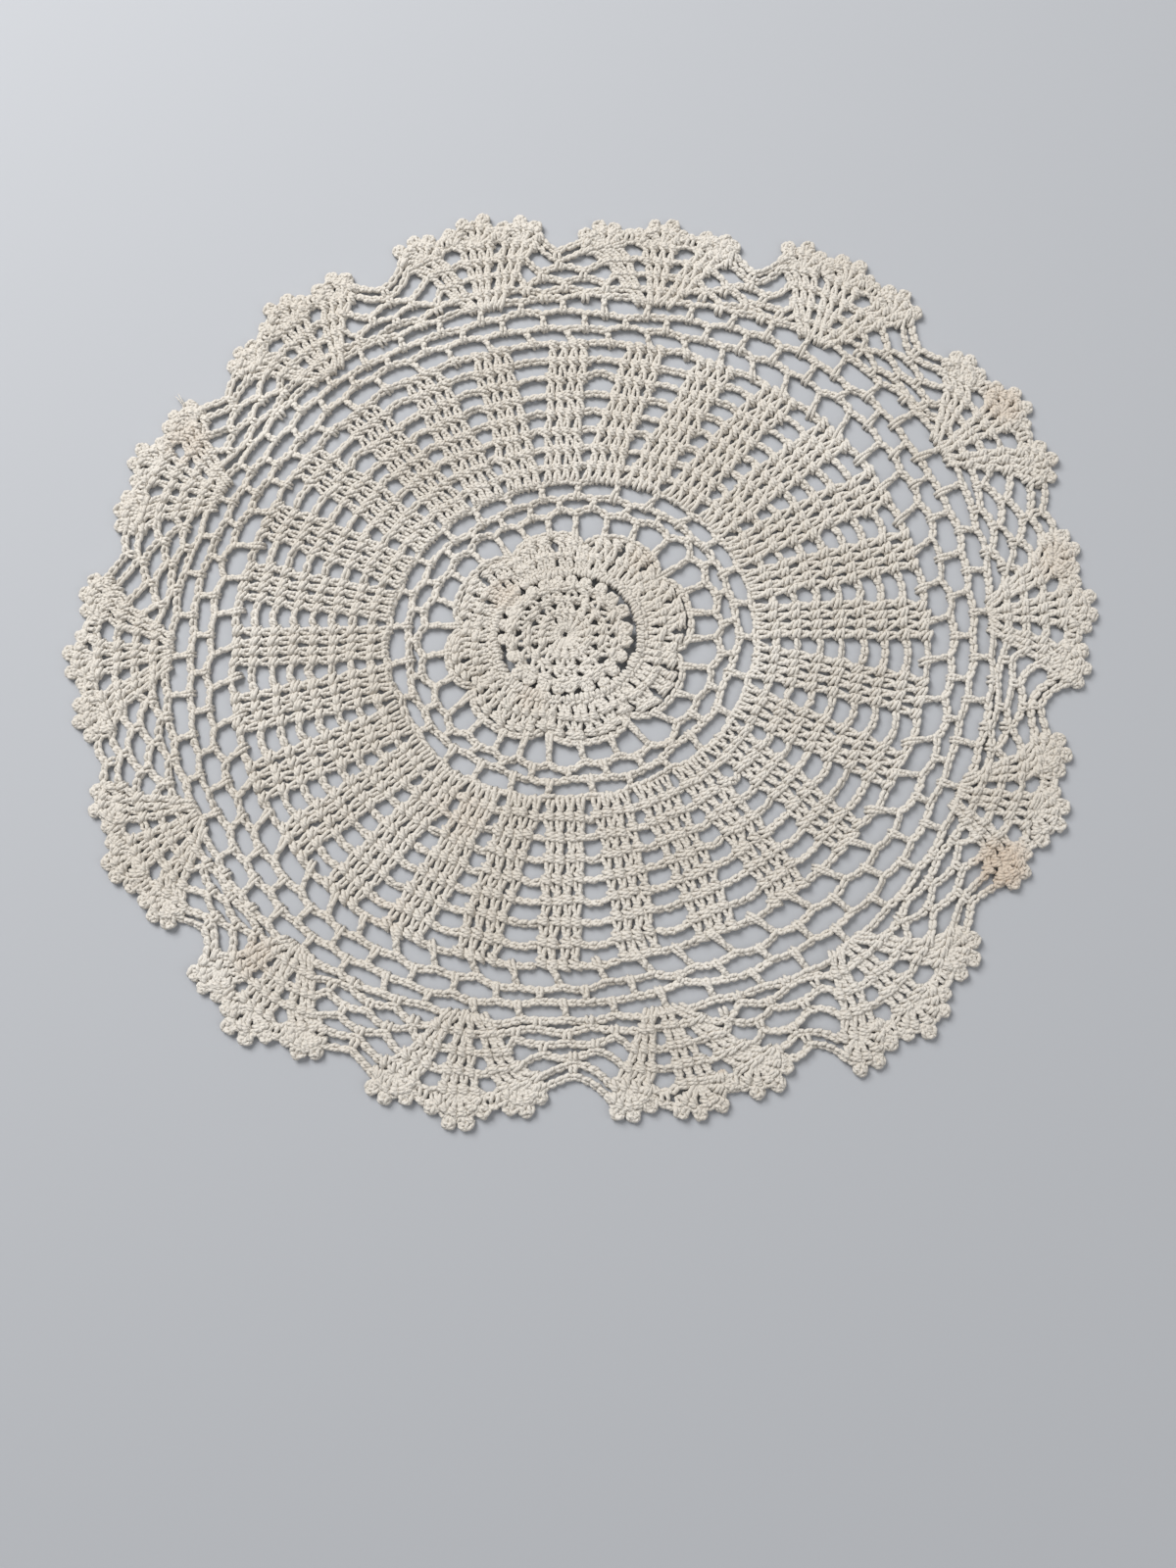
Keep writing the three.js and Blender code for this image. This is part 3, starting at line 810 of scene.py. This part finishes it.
def cottonMaterial():
    material = bpy.data.materials.new("crochet_cotton")
    material.use_nodes = True
    nodes, links = material.node_tree.nodes, material.node_tree.links
    shader = nodes["Principled BSDF"]
    shader.inputs["Roughness"].default_value = cotton["roughness"]
    shader.inputs["Sheen Weight"].default_value = cotton["sheen"]
    shader.inputs["Sheen Roughness"].default_value = cotton["sheenRoughness"]
    shader.inputs["Specular IOR Level"].default_value = cotton["specular"]
    where = nodes.new("ShaderNodeTexCoord").outputs["Object"]

    def calculate(operation, a, b=None, c=None, clamp=False):
        node = nodes.new("ShaderNodeMath")
        node.operation = operation
        node.use_clamp = clamp
        for socket, value in zip(node.inputs, (a, b, c)):
            if isinstance(value, (int, float)):
                socket.default_value = value
            elif value is not None:
                links.new(value, socket)
        return node.outputs[0]

    def noise(scale, detail):
        node = nodes.new("ShaderNodeTexNoise")
        node.inputs["Scale"].default_value = scale
        node.inputs["Detail"].default_value = detail
        links.new(where, node.inputs["Vector"])
        return node.outputs["Fac"]

    def mixColor(share, a, b):
        node = nodes.new("ShaderNodeMix")
        node.data_type = "RGBA"
        links.new(share, node.inputs["Factor"])
        for socket, value in ((node.inputs["A"], a), (node.inputs["B"], b)):
            if isinstance(value, tuple):
                socket.default_value = (*value, 1)
            else:
                links.new(value, socket)
        return node.outputs["Result"]

    def bump(height, strength, depth):
        node = nodes.new("ShaderNodeBump")
        node.inputs["Strength"].default_value = strength
        node.inputs["Distance"].default_value = depth * mm
        links.new(height, node.inputs["Height"])
        return node

    # two tones of cotton, in slow patches with a quick mottle
    slow, quick = noise(cotton["patches"], 3.0), noise(cotton["mottle"], 2.0)
    patch = calculate("MULTIPLY_ADD", slow, *cotton["patchContrast"], clamp=True)
    patch = calculate("MULTIPLY_ADD", patch, *cotton["patchShare"])
    patch = calculate("MULTIPLY_ADD", quick, cotton["mottleShare"], patch, clamp=True)
    color = mixColor(patch, cotton["dark"], cotton["light"])

    # stains with ragged edges
    ragged = calculate("MULTIPLY_ADD", noise(cotton["stainRags"], 3.0), *cotton["stainRagged"])
    soiled = None
    for x, y, reach, strength in stains:
        distance = nodes.new("ShaderNodeVectorMath")
        distance.operation = "DISTANCE"
        links.new(where, distance.inputs[0])
        distance.inputs[1].default_value = (x * mm, y * mm, stainHeight * mm)
        fade = nodes.new("ShaderNodeMapRange")
        fade.interpolation_type = "SMOOTHSTEP"
        fade.inputs["From Min"].default_value = cotton["stainEdge"] * reach * mm
        fade.inputs["From Max"].default_value = reach * mm
        fade.inputs["To Min"].default_value = strength
        fade.inputs["To Max"].default_value = 0.0
        links.new(calculate("MULTIPLY", distance.outputs["Value"], ragged), fade.inputs["Value"])
        spot = fade.outputs["Result"]
        soiled = spot if soiled is None else calculate("MAXIMUM", soiled, spot)
    links.new(mixColor(soiled, color, cotton["tan"]), shader.inputs["Base Color"])

    # the twist of the plies along each strand, and fibres over it
    uv = nodes.new("ShaderNodeUVMap")
    uv.uv_map = "yarn"
    split = nodes.new("ShaderNodeSeparateXYZ")
    links.new(uv.outputs["UV"], split.inputs["Vector"])
    twist = calculate("MULTIPLY", split.outputs["X"], 2 * math.pi * cotton["plies"])
    twist = calculate("MULTIPLY_ADD", split.outputs["Y"], 2 * math.pi / cotton["ply"], twist)
    ply = bump(calculate("SINE", twist), cotton["plyBump"], cotton["plyDepth"])
    fibre = bump(noise(cotton["fibre"], 3.0), cotton["fibreBump"], cotton["fibreDepth"])
    links.new(ply.outputs["Normal"], fibre.inputs["Normal"])
    links.new(fibre.outputs["Normal"], shader.inputs["Normal"])
    return material


material = cottonMaterial()
rng = np.random.default_rng(17)
for name, parts in strands.items():
    piece = makeMesh(name, parts, rng)
    piece.data.materials.append(material)
    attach(piece, "root")
    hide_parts("doily")
print("meshes made")


# floor and light, in metres
studio = {
    "floorHalf": 6.0,
    "floorColor": (0.42, 0.43, 0.45),
    "floorRoughness": 0.9,
    "lights": (  # name, place, size and power in watts
        ("key", (-0.6, 0.7, 0.9), 0.7, 20.0),
        ("fill", (0.9, -0.5, 0.9), 1.2, 4.8),
    ),
    "skyColor": (0.95, 0.97, 1.0),
    "sky": 0.32,
}


def makeFloor():
    mesh = bpy.data.meshes.new("floor")
    s = studio["floorHalf"]
    mesh.from_pydata([(-s, -s, 0), (s, -s, 0), (s, s, 0), (-s, s, 0)], [], [(0, 1, 2, 3)])
    floor = bpy.data.objects.new("floor", mesh)
    scene.collection.objects.link(floor)
    paint = bpy.data.materials.new("floor_paint")
    paint.use_nodes = True
    shader = paint.node_tree.nodes["Principled BSDF"]
    shader.inputs["Base Color"].default_value = (*studio["floorColor"], 1)
    shader.inputs["Roughness"].default_value = studio["floorRoughness"]
    mesh.materials.append(paint)


def makeLights():
    for name, where, size, power in studio["lights"]:
        data = bpy.data.lights.new(name, "AREA")
        data.size = size
        data.energy = power
        light = bpy.data.objects.new(name, data)
        light.location = where
        x, y, z = (-v for v in where)  # the way to the middle of the doily
        light.rotation_euler = (math.atan2(math.hypot(x, y), -z), 0, math.atan2(y, x) - math.pi / 2)
        scene.collection.objects.link(light)
    world = bpy.data.worlds.new("studio")
    world.use_nodes = True
    background = world.node_tree.nodes["Background"]
    background.inputs["Color"].default_value = (*studio["skyColor"], 1)
    background.inputs["Strength"].default_value = studio["sky"]
    scene.world = world


makeFloor()
makeLights()
print("floor and light set")
